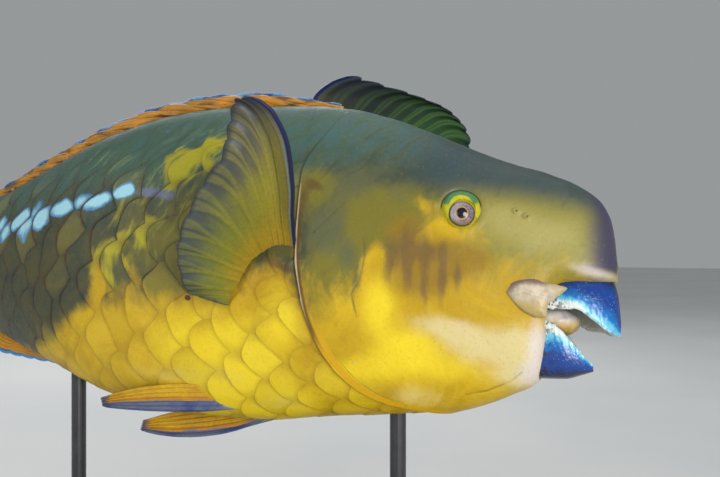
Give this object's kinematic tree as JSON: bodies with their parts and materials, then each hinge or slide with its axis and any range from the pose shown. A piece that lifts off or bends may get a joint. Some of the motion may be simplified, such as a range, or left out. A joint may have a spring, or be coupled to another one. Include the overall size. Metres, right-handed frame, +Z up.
{
  "type": "parrotfish display model",
  "caption": "Life-size still model of a large deep-bodied parrotfish with a fused beak and spread fins, on a flat base with upright rods.",
  "frame": {"origin": "centre of the underside of the stand's base", "axes": "+X ahead of the fish, towards the beak; +Y the fish's left side; +Z up"},
  "size_m": [0.5729, 0.1781, 0.3113],
  "materials": {
    "skin": "moist scaled fish skin, yellow below and grey-olive above",
    "beak": "glossy blue dental plate with a white cutting edge",
    "eye": "wet glossy eye",
    "fin": "thin rayed fin, yellow-olive with navy rays and blue margins",
    "stand_base": "dark satin painted wood",
    "stand_rod": "dark satin painted metal"
  },
  "bodies": {
    "root": {"head": "skin", "trunk_front": "skin", "trunk_rear": "skin", "tail_stem": "skin", "beak_upper": "beak", "beak_lower": "beak", "eye_right": "eye", "eye_left": "eye", "dorsal_fin": "fin", "anal_fin": "fin", "tail_fin": "fin", "pectoral_fin_right": "fin", "pectoral_fin_left": "fin", "pelvic_fin_right": "fin", "pelvic_fin_left": "fin", "stand_base": "stand_base", "stand_rod_front": "stand_rod", "stand_rod_rear": "stand_rod"}
  },
  "joints": []
}
